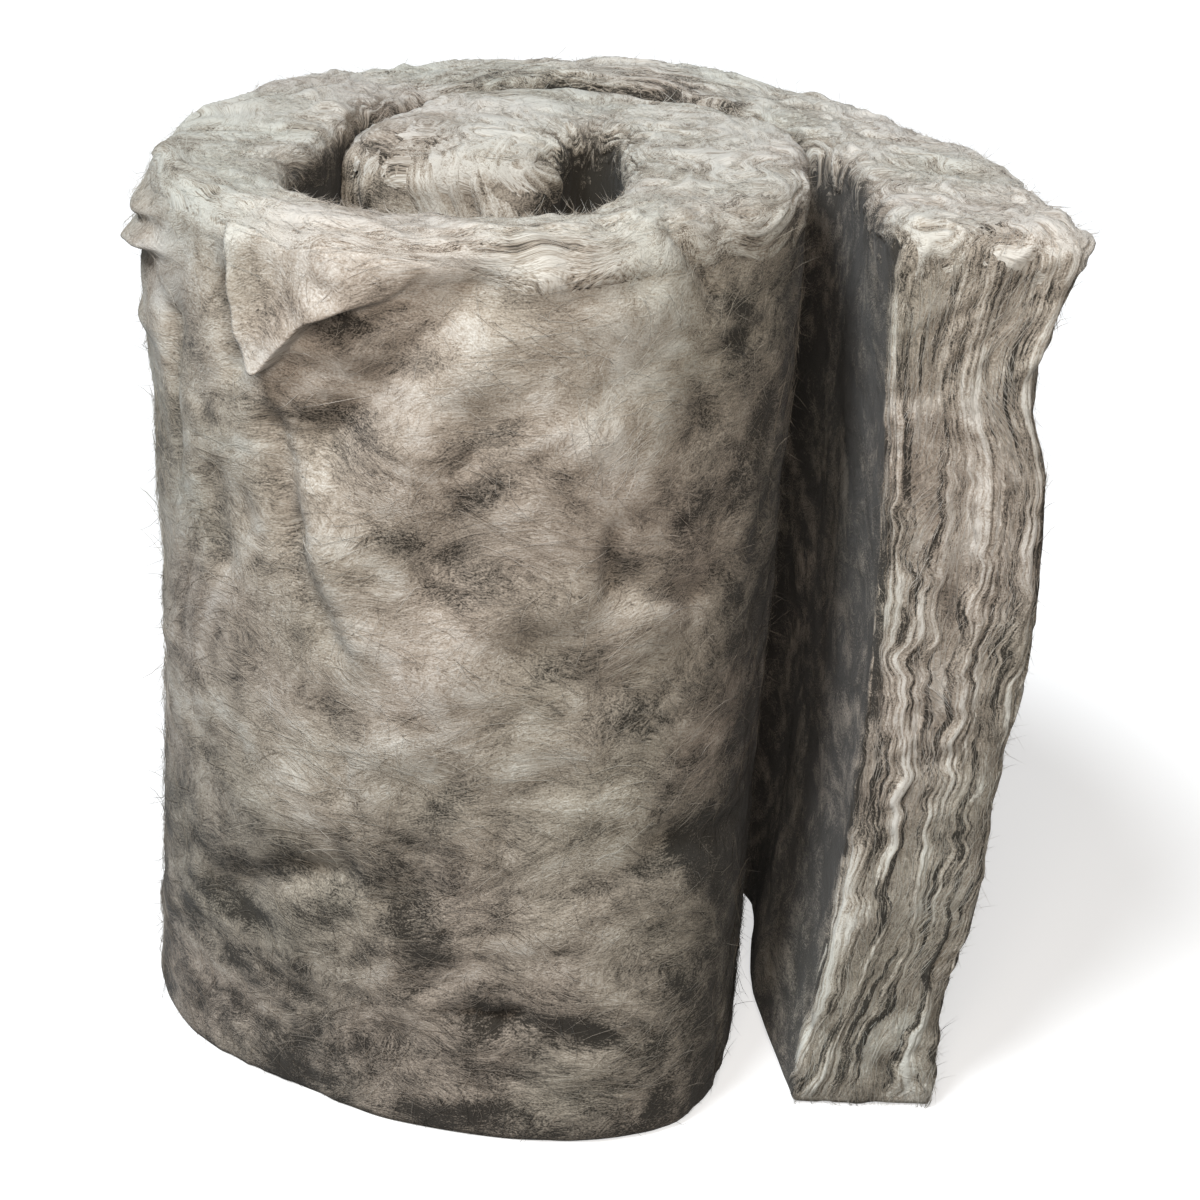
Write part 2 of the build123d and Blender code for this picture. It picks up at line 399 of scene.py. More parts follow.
    def face_tone_and_shade(self, strip, normals):
        """Tone of each face, mostly painted light and shade: pale on top where the light falls, painted shade
        inside the turns, and on the outer face painted shade towards the foot and on the drum's side that the
        flap covers."""
        along, _, up = strip.T
        # Painted light and shade on the outer face: a little paler towards the rim, darker towards the foot
        # and beside the flap gap.
        foot = 1 - ramp(up, 0.0, 0.22)
        gap_shade = 1 - ramp(along, 0.27, 0.37)
        outside = 0.15 * ramp(up, 0.26, 0.40) - 0.32 * foot - 0.50 * gap_shade
        inside = 0.68 - 0.24 * ramp(along, 0.55, 0.75)
        facing_out, facing_in = np.maximum(normals[:, 1], 0), np.maximum(-normals[:, 1], 0)
        # Painted light on faces that look up, and painted shade on the faces inside the turns, a little less
        # at the back.
        return 0.48 + 0.32 * np.maximum(normals[:, 2], 0) + facing_out * outside - inside * facing_in

    def tone(self, strip, lumps, base):
        """Tone of the wool, dark at 0 and under, pale at 1: paler on crowns than in hollows, which is painted
        light and shade, and mottled.
        """
        places = self.swirled(strip)
        mottle = 0.08 * waves(places, 0.06, 81) + 0.065 * waves(places, 0.026, 82)
        mottle = mottle + 0.045 * waves(places, 0.012, 83)
        # Painted light and shade: the tone rises on the lumps' crowns and falls in their hollows and furrows;
        # the mottle is the wool's own.
        return np.clip(base + 0.20 * np.tanh(lumps / 0.005) + mottle, -0.3, 1)

    def placed(self, strip, normals, lift=0.0, relief=1.0):
        """Points in the row frame of places on the strip, lifted off the settled surface. A relief
        under 1 follows its lumps less."""
        shaped, lumps = self.settled(strip, normals)
        lift = np.broadcast_to(lift - (1 - relief) * lumps, len(strip))
        shaped = shaped + normals * lift[:, None]
        points = self.winding.at(*shaped.T)
        points[:, 2] = np.maximum(points[:, 2], 0)
        return points, lumps


def spaced(length, count, weight):
    """count + 1 places from 0 to length, closer together where the weight is larger."""
    fine = np.linspace(0, length, 4001)
    filled = np.concatenate([[0], np.cumsum(weight((fine[1:] + fine[:-1]) / 2))])
    return np.interp(np.linspace(0, filled[-1], count + 1), filled, fine)


def grid_quads(grid):
    """Quads of a grid of vertex numbers, in turning order."""
    corners = [grid[:-1, :-1], grid[1:, :-1], grid[1:, 1:], grid[:-1, 1:]]
    return np.stack([corner.ravel() for corner in corners], 1)


def box_grid(along, across, up):
    """The six sides of a box as one closed grid. Returns its vertices in strip coordinates, its quads,
    and for each quad's corners a place on a flat map that holds the sides apart."""
    shape = (len(along), len(across), len(up))
    rim = np.ones(shape, bool)
    rim[1:-1, 1:-1, 1:-1] = False
    index = np.full(shape, -1)
    index[rim] = np.arange(rim.sum())
    places = np.stack(np.meshgrid(along, across, up, indexing="ij"), -1)[rim]
    length, thickness, width = np.ptp(along), np.ptp(across), np.ptp(up)
    margin = 0.01 * length
    shelves = np.cumsum([margin, width + margin, width + margin, thickness + margin])
    ends_at = length + 2 * margin
    sides = [
        (index[:, -1, :], False, (0, 2), (margin, shelves[0])),
        (index[:, 0, :], True, (0, 2), (margin, shelves[1])),
        (index[:, :, -1], True, (0, 1), (margin, shelves[2])),
        (index[:, :, 0], False, (0, 1), (margin, shelves[3])),
        (index[-1, :, :], True, (1, 2), (ends_at, shelves[0])),
        (index[0, :, :], False, (1, 2), (ends_at, shelves[1])),
    ]
    quads, maps = [], []
    low = places.min(0)
    for grid, forward, axes, corner in sides:
        quad = grid_quads(grid)
        if not forward:
            quad = quad[:, ::-1]
        quads.append(quad)
        maps.append((places[quad] - low)[:, :, axes] + corner)
    map_size = max(length + thickness + 3 * margin, shelves[3] + thickness + margin)
    return places, np.concatenate(quads), np.concatenate(maps) / map_size


def lid_grid(lengthwise, crosswise):
    """A closed sheet on a grid of two lengths: quads over it, an underside whose quads run from one long
    border to the other, and a fan at each end. Returns the grid's two coordinates and its faces."""
    rows, columns = len(lengthwise), len(crosswise)
    index = np.arange(rows * columns).reshape(rows, columns)
    first, second = (value.ravel() for value in np.meshgrid(lengthwise, crosswise, indexing="ij"))
    under = grid_quads(index[:, [0, -1]])[:, ::-1]
    inner = np.arange(1, columns - 1)
    fans = [np.stack([index[0, 0] + 0 * inner, index[0, inner], index[0, inner + 1]], 1),
            np.stack([index[-1, 0] + 0 * inner, index[-1, inner + 1], index[-1, inner]], 1)]
    return first, second, grid_quads(index), under, np.concatenate(fans)


def wrapped(values, low, high):
    """Lengths that run past a face, as the part on it and the part over its edge."""
    inside = np.clip(values, low, high)
    return inside, np.abs(values - inside)


def layers(along, across, spacing, run, seed):
    """Stacked layers across a face. Each has a height and a shade of its own that drift along it, as
    smooth noises of unit spread. Returns both, and 1 at the seams between layers falling to 0."""
    turns = across / spacing
    number = np.floor(turns)
    share = turns - number
    drift = np.stack([along, number * 7.3, np.zeros_like(along)], 1)
    seam = np.exp(-(np.minimum(share, 1 - share) / 0.16) ** 2)
    return waves(drift, (run, 2.0, 1.0), seed), waves(drift, (0.6 * run, 2.0, 1.0), seed + 1), seam


def add_mesh(name, vertices, face_sets, material, bake_maps=None, **attributes):
    """Puts arrays into a new mesh object: vertices, sets of faces of equal size with a map for each
    corner, and attributes of one or three values for each vertex. It rides on the body."""
    mesh = bpy.data.meshes.new(name)
    corners = np.concatenate([faces.ravel() for faces in face_sets])
    sizes = np.concatenate([np.full(len(faces), faces.shape[1]) for faces in face_sets])
    mesh.vertices.add(len(vertices))
    mesh.vertices.foreach_set("co", vertices.astype(np.float32).ravel())
    mesh.loops.add(len(corners))
    mesh.loops.foreach_set("vertex_index", corners.astype(np.int32))
    mesh.polygons.add(len(sizes))
    mesh.polygons.foreach_set("loop_start", (np.cumsum(sizes) - sizes).astype(np.int32))
    mesh.polygons.foreach_set("use_smooth", np.ones(len(sizes), bool))
    for key, values in attributes.items():
        kind = "FLOAT" if values.ndim == 1 else "FLOAT_VECTOR"
        field = "value" if values.ndim == 1 else "vector"
        layer = mesh.attributes.new(key, kind, "POINT")
        layer.data.foreach_set(field, values.astype(np.float32).ravel())
    if bake_maps is not None:
        layer = mesh.uv_layers.new(name=BAKE_MAP)
        flat = np.concatenate([bake_map.reshape(-1, 2) for bake_map in bake_maps])
        layer.uv.foreach_set("vector", flat.astype(np.float32).ravel())
    mesh.update(calc_edges=True)
    if mesh.validate():
        raise RuntimeError(f"{name} has faces that are not valid")
    mesh.materials.append(material)
    piece = bpy.data.objects.new(name, mesh)
    bpy.context.scene.collection.objects.link(piece)
    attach(piece, BODY)
    return piece


def add_node(tree, kind, inputs=None, **settings):
    """A node with these settings and inputs, each input a value or another node's output."""
    node = tree.nodes.new(kind)
    for key, value in settings.items():
        setattr(node, key, value)
    for key, value in (inputs or {}).items():
        if isinstance(value, bpy.types.NodeSocket):
            tree.links.new(value, node.inputs[key])
        else:
            node.inputs[key].default_value = value
    return node


def math_node(tree, operation, *values):
    """The output of a Math node on these values."""
    node = add_node(tree, "ShaderNodeMath", dict(enumerate(values)), operation=operation)
    return node.outputs[0]


def blend_node(tree, factor, first, second, blend="MIX"):
    """The output of a colour mix."""
    inputs = {0: factor, 6: first, 7: second}
    node = add_node(tree, "ShaderNodeMix", inputs, data_type="RGBA", blend_type=blend)
    return node.outputs[2]


def spread_node(tree, value, low, high):
    """A value from 0 at low to 1 at high."""
    inputs = {"Value": value, "From Min": low, "From Max": high}
    return add_node(tree, "ShaderNodeMapRange", inputs).outputs[0]


def vector_node(tree, operation, inputs):
    """The output of a Vector Math node on these inputs."""
    return add_node(tree, "ShaderNodeVectorMath", inputs, operation=operation).outputs[0]


def noise_node(tree, vector, scale, detail=2.0, output="Fac", **inputs):
    """The output of a Noise Texture."""
    inputs = {"Vector": vector, "Scale": scale, "Detail": detail, **inputs}
    node = add_node(tree, "ShaderNodeTexNoise", inputs)
    return node.outputs[output]


def fibre_group():
    """Node group: fine matted fibres. The grain's place is drawn about by a slow and a quick noise.
    Noises stretched in three directions give the fibres, and a slow noise picks between them where they
    stray from the grain. Even noises give the specks and the clumps, and one stretched far along the
    grain the layers."""
    group = bpy.data.node_groups.get("matted_fibres")
    if group:
        return group
    group = bpy.data.node_groups.new("matted_fibres", "ShaderNodeTree")
    group.interface.new_socket("Grain", in_out="INPUT", socket_type="NodeSocketVector")
    group.interface.new_socket("Stray", in_out="INPUT", socket_type="NodeSocketFloat")
    for name in ("Fibre", "Speck", "Layer", "Clump"):
        group.interface.new_socket(name, in_out="OUTPUT", socket_type="NodeSocketFloat")
    ends = add_node(group, "NodeGroupInput"), add_node(group, "NodeGroupOutput")
    grain = ends[0].outputs["Grain"]
    slow_place = drawn_about(group, grain, 25.0, 0.02)
    place = drawn_about(group, slow_place, 130.0, 0.004)
    lines = []
    for turn in np.radians((0, 60, 120)):
        mapped = add_node(group, "ShaderNodeMapping", {
            "Vector": place, "Rotation": (0, 0, turn), "Scale": (0.3, 1, 1)}).outputs[0]
        lines.append(noise_node(group, mapped, 1100.0, 3.0, Roughness=0.65))
    fibre = lines[0]
    for line, slow in zip(lines[1:], (45.0, 60.0)):
        pick = spread_node(group, noise_node(group, grain, slow, 1.0), 0.42, 0.58)
        pick = math_node(group, "MULTIPLY", pick, ends[0].outputs["Stray"])
        fibre = add_node(group, "ShaderNodeMix", {0: pick, 2: fibre, 3: line}).outputs[0]
    streak = add_node(group, "ShaderNodeMapping", {
        "Vector": drawn_about(group, grain, 60.0, 0.002), "Scale": (0.035, 1, 1)}).outputs[0]
    group.links.new(fibre, ends[1].inputs["Fibre"])
    group.links.new(noise_node(group, grain, 1500.0, 2.0), ends[1].inputs["Speck"])
    group.links.new(noise_node(group, streak, 520.0, 3.0, Roughness=0.6), ends[1].inputs["Layer"])
    group.links.new(noise_node(group, slow_place, 75.0, 5.0, Roughness=0.62), ends[1].inputs["Clump"])
    return group


def drawn_about(tree, vector, scale, reach):
    """A place moved about by a noise, up to the reach each way."""
    noise = noise_node(tree, vector, scale, 1.0, "Color")
    offset = vector_node(tree, "SUBTRACT", {0: noise, 1: (0.5, 0.5, 0.5)})
    offset = vector_node(tree, "SCALE", {0: offset, "Scale": 2 * reach})
    return vector_node(tree, "ADD", {0: vector, 1: offset})


def wool_colour_group(colours):
    """Node group: the wool's colour at a level from 0 to 1, from shaded hollows to pale crowns, with
    slow patches of a cooler tint."""
    group = bpy.data.node_groups.get("wool_colour")
    if group:
        return group
    group = bpy.data.node_groups.new("wool_colour", "ShaderNodeTree")
    group.interface.new_socket("Level", in_out="INPUT", socket_type="NodeSocketFloat")
    group.interface.new_socket("Colour", in_out="OUTPUT", socket_type="NodeSocketColor")
    ends = add_node(group, "NodeGroupInput"), add_node(group, "NodeGroupOutput")
    place = add_node(group, "ShaderNodeTexCoord").outputs["Object"]
    colour = add_node(group, "ShaderNodeValToRGB", {"Fac": ends[0].outputs["Level"]})
    stops = colour.color_ramp.elements
    stops[0].position, stops[0].color = 0.0, (*colours.shade, 1)
    stops[1].position, stops[1].color = 1.0, (*colours.pale, 1)
    stops.new(0.5).color = (*colours.middle, 1)
    patch = spread_node(group, noise_node(group, place, 9.0, 2.0), 0.4, 0.65)
    tinted = blend_node(group, patch, colour.outputs["Color"], (*colours.cool, 1), "MULTIPLY")
    group.links.new(tinted, ends[1].inputs["Colour"])
    return group


def wool_shader(material, colours, level):
    """Sets up the wool's shader: dull, a little fuzzy at its edges, coloured by the level."""
    tree = material.node_tree
    shader = tree.nodes["Principled BSDF"]
    shader.inputs["Roughness"].default_value = 1.0
    shader.inputs["Specular IOR Level"].default_value = 0.1
    shader.inputs["Sheen Weight"].default_value = 0.1
    shader.inputs["Sheen Roughness"].default_value = 0.6
    colour = add_node(tree, "ShaderNodeGroup", node_tree=wool_colour_group(colours))
    tree.links.new(level, colour.inputs["Level"])
    tree.links.new(colour.outputs["Colour"], shader.inputs["Base Color"])
    return shader


def wool_material(name, colours, stray, matting, layering, clumping):
    """Matted wool: its tone from the mesh, with fine fibres, specks, layers and clumps in colour and
    relief. stray is how far the fibres leave the grain, and the others how strongly they show."""
    material = bpy.data.materials.new(name)
    material.use_nodes = True
    tree = material.node_tree
    tone = add_node(tree, "ShaderNodeAttribute", attribute_name="tone").outputs["Fac"]
    grain = add_node(tree, "ShaderNodeAttribute", attribute_name="grain").outputs["Vector"]
    fibres = add_node(tree, "ShaderNodeGroup", {"Stray": stray}, node_tree=fibre_group())
    tree.links.new(grain, fibres.inputs["Grain"])
    relief = 0.0
    shares = {"Fibre": (1.5 * matting, 1.0 * matting), "Speck": (1.0 * matting, 0.4 * matting),
              "Layer": (1.9 * layering, 1.5 * layering), "Clump": (1.1 * clumping, 2.2 * clumping)}
    for name, (shade, height) in shares.items():
        offset = math_node(tree, "SUBTRACT", fibres.outputs[name], 0.5)
        tone = math_node(tree, "MULTIPLY_ADD", offset, shade, tone)
        relief = math_node(tree, "MULTIPLY_ADD", offset, height, relief)
    shader = wool_shader(material, colours, tone)
    bump = add_node(tree, "ShaderNodeBump", {"Height": relief, "Strength": 0.5, "Distance": 0.0014})
    tree.links.new(bump.outputs["Normal"], shader.inputs["Normal"])
    return material


def strand_material(colours):
    """Loose strands: the wool's colour at each strand's own tone."""
    material = bpy.data.materials.new("loose_strands")
    material.use_nodes = True
    tone = add_node(material.node_tree, "ShaderNodeAttribute", attribute_name="tone").outputs["Fac"]
    wool_shader(material, colours, tone)
    return material


def spindles(paths, radius, spin):
    """Closed three-sided strands along paths of equal point counts: rings round the inner points and a
    single point at each end. Returns vertices, triangles, and each vertex's strand and share along it."""
    strands, points, _ = paths.shape
    forward = np.gradient(paths, axis=1)
    forward /= np.linalg.norm(forward, axis=2, keepdims=True) + 1e-12
    side = np.cross(forward, spin[:, None, :])
    side /= np.linalg.norm(side, axis=2, keepdims=True) + 1e-12
    other = np.cross(forward, side)
    angles = 2 * np.pi * np.arange(3) / 3
    rings = side[:, 1:-1, None] * np.cos(angles)[:, None] + other[:, 1:-1, None] * np.sin(angles)[:, None]
    rings = paths[:, 1:-1, None] + rings * radius[:, None, None, None]
    middle = points - 2
    vertices = np.concatenate([paths[:, :1], rings.reshape(strands, middle * 3, 3), paths[:, -1:]], 1)
    ring = np.arange(3)
    turned = (ring + 1) % 3
    last = 1 + middle * 3
    tips = [np.stack([np.zeros(3, int), 1 + turned, 1 + ring], 1),
            np.stack([np.full(3, last), last - 3 + ring, last - 3 + turned], 1)]
    bands = []
    for k in range(middle - 1):
        low = 1 + 3 * k
        bands.append(np.stack([low + ring, low + turned, low + 3 + turned], 1))
        bands.append(np.stack([low + ring, low + 3 + turned, low + 3 + ring], 1))
    pattern = np.concatenate([*tips, *bands])
    triangles = (pattern[None] + (np.arange(strands) * (last + 1))[:, None, None]).reshape(-1, 3)
    shares = np.concatenate([[0], np.repeat(np.arange(1, points - 1), 3), [points - 1]]) / (points - 1)
    strand = np.repeat(np.arange(strands), last + 1)
    return vertices.reshape(-1, 3), triangles, strand, np.tile(shares, strands)


def add_strands(name, batt, thickness, material, starts, axes, headings, lengths, lifts, base, bend, seed):
    """Loose strands that lie on the batt: each runs from its start along a bent line in the face's two
    axes, just off the settled surface, with its ends lifted. starts are places on the strip's box, and
    base is how much paler the strands are than the face."""
    points = 5
    draw = np.random.default_rng(seed)
    count = len(starts)
    shares = np.linspace(-0.5, 0.5, points)
    bends = draw.normal(0, bend, count)
    angles = headings[:, None] + bends[:, None] * shares
    steps = lengths[:, None] / (points - 1)
    runs = []
    for move in (np.cos(angles), np.sin(angles)):
        walked = np.cumsum(move * steps, 1)
        runs.append(walked - walked.mean(1, keepdims=True))
    places = starts[:, None, :] + runs[0][:, :, None] * axes[0] + runs[1][:, :, None] * axes[1]
    flat = np.clip(places.reshape(-1, 3), batt.low, batt.high)
    over = places.reshape(-1, 3) - flat
    strip, normals = batt.rounded(flat)
    rise = 0.0003 + lifts[:, None] * (np.abs(shares + draw.uniform(-0.3, 0.3, (count, 1))) * 2) ** 2
    torn = np.maximum(normals[:, 1], 0) * batt.torn_height(strip[:, 0], strip[:, 2])
    points_at, lumps = batt.placed(strip + over, normals, rise.ravel() + torn)
    tone = batt.tone(strip, lumps, batt.face_tone_and_shade(strip, normals) + base)
    tone = tone.reshape(count, points)[:, points // 2]
    tone = np.clip(tone + draw.normal(0.09, 0.08, count), 0, 1)
    radius = thickness / 2 * draw.uniform(0.6, 1.5, count)
    vertices, triangles, strand, share = spindles(
        points_at.reshape(count, points, 3), radius, draw.normal(size=(count, 3)))
    tone = tone[strand]
    spread = np.array([0, 0.004, 0.008])
    bake_map = np.stack([0.02 + 0.95 * tone[triangles] + spread, 0.02 + 0.96 * share[triangles]], -1)
    return add_mesh(name, vertices, [triangles], material, [bake_map], tone=tone)


class WOOL_OT_batt(bpy.types.Operator):
    """Wind the batt: a rounded strip with soft lumps and furrows, carried along its winding"""

    bl_idname = "wool.batt"
    bl_label = "Wound batt"

    def execute(self, context):
        batt = Batt(context.scene.batt_sizes)

        def finer_on_drum(place):
            return 1 + 0.5 * ramp(place, 0.2, 0.26) * (1 - ramp(place, 0.6, 0.66))

        along = spaced(batt.high[0], 332, finer_on_drum)
        across = np.linspace(batt.low[1], batt.high[1], 23)
        up = spaced(ROLL_HEIGHT, 112, lambda place: 1 + 0.4 * ramp(place, 0.28, 0.36))
        places, quads, bake_map = box_grid(along, across, up)
        strip, normals = batt.rounded(places)
        vertices, lumps = batt.placed(strip, normals)
        tone = batt.tone(strip, lumps, batt.face_tone_and_shade(strip, normals))
        grain = strip[:, [0, 2, 1]]
        material = wool_material("matted_wool", context.scene.wool_colours, 1.0, 0.85, 0.0, 1.0)
        piece = add_mesh("wound_batt", vertices, [quads], material, [bake_map], tone=tone, grain=grain)
        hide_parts(NODE)
        return {"FINISHED"}


def add_lid(name, batt, first, second, to_box, layers_at, fade, material, droop=0.0, sink=0.0):
    """A closed fine sheet over one side of the batt and round its edges. first and second are the grid's
    lengths, to_box puts them on the strip's box, layers_at gives height, tone and grain, and within the
    fade from its border the sheet takes the batt's face tone, with its painted light and shade, and sinks
    into it. Where it stands high it follows the batt's lumps less, and hangs down by the droop for each
    metre of height. Its border lies deeper by the sink, which keeps its underside inside the batt."""
    a, b, top, under, fans = lid_grid(first, second)
    strip, normals = batt.rounded(to_box(a, b))
    height, tone, grain = layers_at(a, b)
    reach = np.minimum(np.minimum(a - first[0], first[-1] - a), np.minimum(b - second[0], second[-1] - b))
    inside = ramp(reach, 0, fade)
    tone = inside * tone + (1 - inside) * batt.face_tone_and_shade(strip, normals)
    high = 1 - 0.8 * ramp(height, 0.003, 0.007)
    hung = strip - np.stack([0 * a, 0 * a, droop * inside * height], 1)
    lift = inside * (0.0012 + height) - 0.0006 - sink * (reach < 1e-6)
    vertices, lumps = batt.placed(hung, normals, lift, high)
    flat = np.stack([a - first[0], b - second[0]], 1) / (1.1 * max(np.ptp(first), np.ptp(second)))
    face_sets = [top, under, fans]
    bake_maps = [flat[top], 0.94 + 0.05 * flat[under], 0.94 + 0.05 * flat[fans]]
    tone = batt.tone(strip, lumps, tone)
    piece = add_mesh(name, vertices, face_sets, material, bake_maps, tone=tone, grain=grain)
    return piece


class WOOL_OT_top_end(bpy.types.Operator):
    """Lay the top end's layers: wavy streaks that follow the winding"""

    bl_idname = "wool.top_end"
    bl_label = "Top end"

    over_edge = 0.034

    def execute(self, context):
        batt = Batt(context.scene.batt_sizes)
        over = self.over_edge
        first = np.linspace(-over, batt.high[0] + over, 571)
        second = np.linspace(batt.low[1] - over, batt.high[1] + over, 101)

        def to_box(a, b):
            along, past_end = wrapped(a, 0, batt.high[0])
            across, past_edge = wrapped(b, batt.low[1], batt.high[1])
            return np.stack([along, across, ROLL_HEIGHT - np.hypot(past_end, past_edge)], 1)

        def layers_at(along, across):
            """Layers stacked at the front rim, curls elsewhere, and painted shade along the inner edges, most
            at the back.
            """
            flat = np.stack([along, across, np.zeros_like(along)], 1)
            front = ramp(along, 0.29, 0.36) * (1 - ramp(along, 0.60, 0.68))
            bent = flat.copy()
            curl = 0.006 * waves(flat, 0.055, 41) + 0.003 * waves(flat, 0.022, 42)
            bent[:, 1] += (1 - 0.4 * front) * curl
            bent[:, 0] += 0.008 * waves(flat, 0.05, 43)
            height, shade, seam = layers(bent[:, 0], bent[:, 1], 0.0075, 0.14, 46)
            broad = billows(bent, (0.07, 0.010, 1.0), 44)
            fine = waves(bent, (0.04, 0.004, 1.0), 45)
            relief = front * (0.0005 * height - 0.0001 * seam)
            relief = relief + (1 - front) * (0.0009 * broad + 0.0004 * fine)
            tone = front * (0.11 * shade - 0.04 * seam - 0.04)
            tone = tone + (1 - front) * (0.24 * broad + 0.13 * fine)
            # Painted shade on the inner half of the top beside the gap at the back, and down the inner edge
            # into the gaps and the hollow.
            back = ramp(along, 0.74, 0.80) * (1 - ramp(along, 0.92, 0.98))
            back_gap_shade = back * (1 - ramp(across, -0.025, 0.015))
            shaded = 0.75 * ramp(-across, 0.032, 0.050)
            # The base of 0.80 matches the batt's top faces and is partly painted light from above.
            return relief, 0.80 + tone - 0.45 * back_gap_shade - shaded, bent

        material = wool_material("layered_top", context.scene.wool_colours, 1.0, 1.7, 0.3, 1.8)
        add_lid("top_end", batt, first, second, to_box, layers_at, 0.030, material)
        return {"FINISHED"}


class WOOL_OT_cut_end(bpy.types.Operator):
    """Lay the flap's cut end: upright layers that sway together, more so lower down"""

    bl_idname = "wool.cut_end"
    bl_label = "Cut end"

    over_edge = 0.016

    def execute(self, context):
        batt = Batt(context.scene.batt_sizes)
        over = self.over_edge
        first = np.linspace(0.0, ROLL_HEIGHT, 221)
        second = np.linspace(batt.low[1] - over, batt.high[1] + over, 221)

        def to_box(a, b):
            across, past_edge = wrapped(b, batt.low[1], batt.high[1])
            return np.stack([batt.high[0] - past_edge, across, a], 1)

        def layers_at(up, across):
            """Upright layers that sway together, more so lower down, and fade out near the top."""
            flat = np.stack([up, across, np.zeros_like(up)], 1)
            lower = 1 - ramp(up, 0.05, 0.30)
            shown = 1 - 0.7 * ramp(up, 0.30, 0.40)
            bent = flat.copy()
            bent[:, 1] += (0.002 + 0.004 * lower) * waves(flat, (0.10, 0.09, 1), 51)
            bent[:, 1] += (0.0004 + 0.0018 * lower) * waves(flat, (0.04, 0.05, 1), 52)
            crinkled = 1 - 0.8 * ramp(up, 0.22, 0.36)
            bent[:, 1] += 0.0011 * crinkled * waves(flat, (0.011, 0.03, 1), 56)
            height, shade, seam = layers(bent[:, 0], bent[:, 1], 0.0036, 0.10, 53)
            broad = waves(bent, (0.17, 0.014, 1.0), 55)
            edge = 1 - 0.8 * ramp(np.abs(across), batt.high[1] - 0.004, batt.high[1] + 0.006)
            relief = shown * (0.0004 * height - 0.0005 * seam) + edge * 0.0008 * broad
            tone = (1 + 0.5 * lower) * (shown * (0.20 * shade - 0.20 * seam) + 0.18 * broad)
            return relief, 0.36 - 0.02 * lower + tone, bent

        material = wool_material("layered_cut", context.scene.wool_colours, 0.15, 1.0, 1.0, 0.3)
        add_lid("cut_end", batt, first, second, to_box, layers_at, 0.012, material)
        return {"FINISHED"}


class WOOL_OT_inner_end(bpy.types.Operator):
    """Lay the inner end in the hollow: upright folds, gathered like a curl"""

    bl_idname = "wool.inner_end"
    bl_label = "Inner end"

    over_edge = 0.030

    def execute(self, context):
        batt = Batt(context.scene.batt_sizes)
        over = self.over_edge
        reach = ROLL_HEIGHT + over
        down = spaced(reach, 130, lambda place: 1 - 0.8 * ramp(place, 0.12, 0.25))
        first = reach - down[::-1]
        second = np.linspace(batt.low[1] - over, batt.high[1] + over, 131)

        def to_box(a, b):
            up, past_top = wrapped(a, 0, ROLL_HEIGHT)
            across, past_edge = wrapped(b, batt.low[1], batt.high[1])
            return np.stack([np.hypot(past_top, past_edge), across, up], 1)

        def layers_at(up, across):
            """Folds that lean to one side as they go down, with finer layers between them, and painted shade
            towards both sides of the curl.
            """
            flat = np.stack([up, across, np.zeros_like(up)], 1)
            bent = flat.copy()
            bent[:, 1] += 0.10 * (ROLL_HEIGHT - up) + 0.006 * waves(flat, (0.07, 0.06, 1), 91)
            bent[:, 1] += 0.002 * waves(flat, (0.025, 0.03, 1), 92)
            folds = billows(bent, (0.12, 0.022, 1.0), 93)
            height, shade, seam = layers(bent[:, 0], bent[:, 1], 0.0045, 0.08, 94)
            past_top = wrapped(up, 0, ROLL_HEIGHT)[1]
            past_edge = wrapped(across, batt.low[1], batt.high[1])[1]
            corner = np.minimum(past_top, past_edge)
            relief = (0.0026 * folds + 0.0004 * height - 0.0004 * seam) * (1 - ramp(corner, 0, 0.01))
            relief = relief * (1 - 0.8 * ramp(up, ROLL_HEIGHT - 0.015, ROLL_HEIGHT))
            # Painted shade on both sides of the curl, where it turns away into the gaps.
            sides = 0.30 * ramp(across, 0.006, 0.030) + 0.20 * ramp(-across, 0.016, 0.036)
            return relief, 0.58 - sides + 0.24 * folds + 0.12 * shade - 0.16 * seam, bent

        material = wool_material("layered_curl", context.scene.wool_colours, 0.4, 1.2, 0.7, 0.8)
        add_lid("inner_end", batt, first, second, to_box, layers_at, 0.018, material)
        return {"FINISHED"}


class WOOL_OT_tuft(bpy.types.Operator):
    """Raise the torn tuft and the shreds of the drum's outer face, as a sheet that grows out of it"""

    bl_idname = "wool.tuft"
    bl_label = "Torn tuft"

    def execute(self, context):
        batt = Batt(context.scene.batt_sizes)
        first = np.linspace(0.405, 0.600, 281)
        second = np.linspace(0.300, 0.404, 121)

        def to_box(a, b):
            return np.stack([a, np.full_like(a, batt.high[1]), b], 1)

        def layers_at(along, up):
            """The tuft's and the shreds' height, with a painted highlight along the torn edge and a painted
            shadow under it.
            """
            strip, normals = batt.rounded(to_box(along, up))
            height = batt.torn_height(along, up) * (1 + 0.12 * waves(strip, (0.02, 0.02, 0.012), 72))
            above = up - through(TORN_EDGE, along)
            size = through(TORN_LIFT, along) / 0.011
            # Painted highlight along the torn edge and painted shadow under it, both as strong as the tuft
            # stands off.
            lip_highlight = size * np.exp(-((above - 0.006) / 0.008) ** 2)
            under = size * np.exp(-((above + 0.009) / 0.009) ** 2)
            tone = batt.face_tone_and_shade(strip, normals) + 0.24 * lip_highlight - 0.30 * under
            return height, tone, strip[:, [0, 2, 1]]

        material = bpy.data.objects["wound_batt"].active_material
        add_lid("torn_tuft", batt, first, second, to_box, layers_at, 0.012, material, 0.5, 0.024)
        return {"FINISHED"}


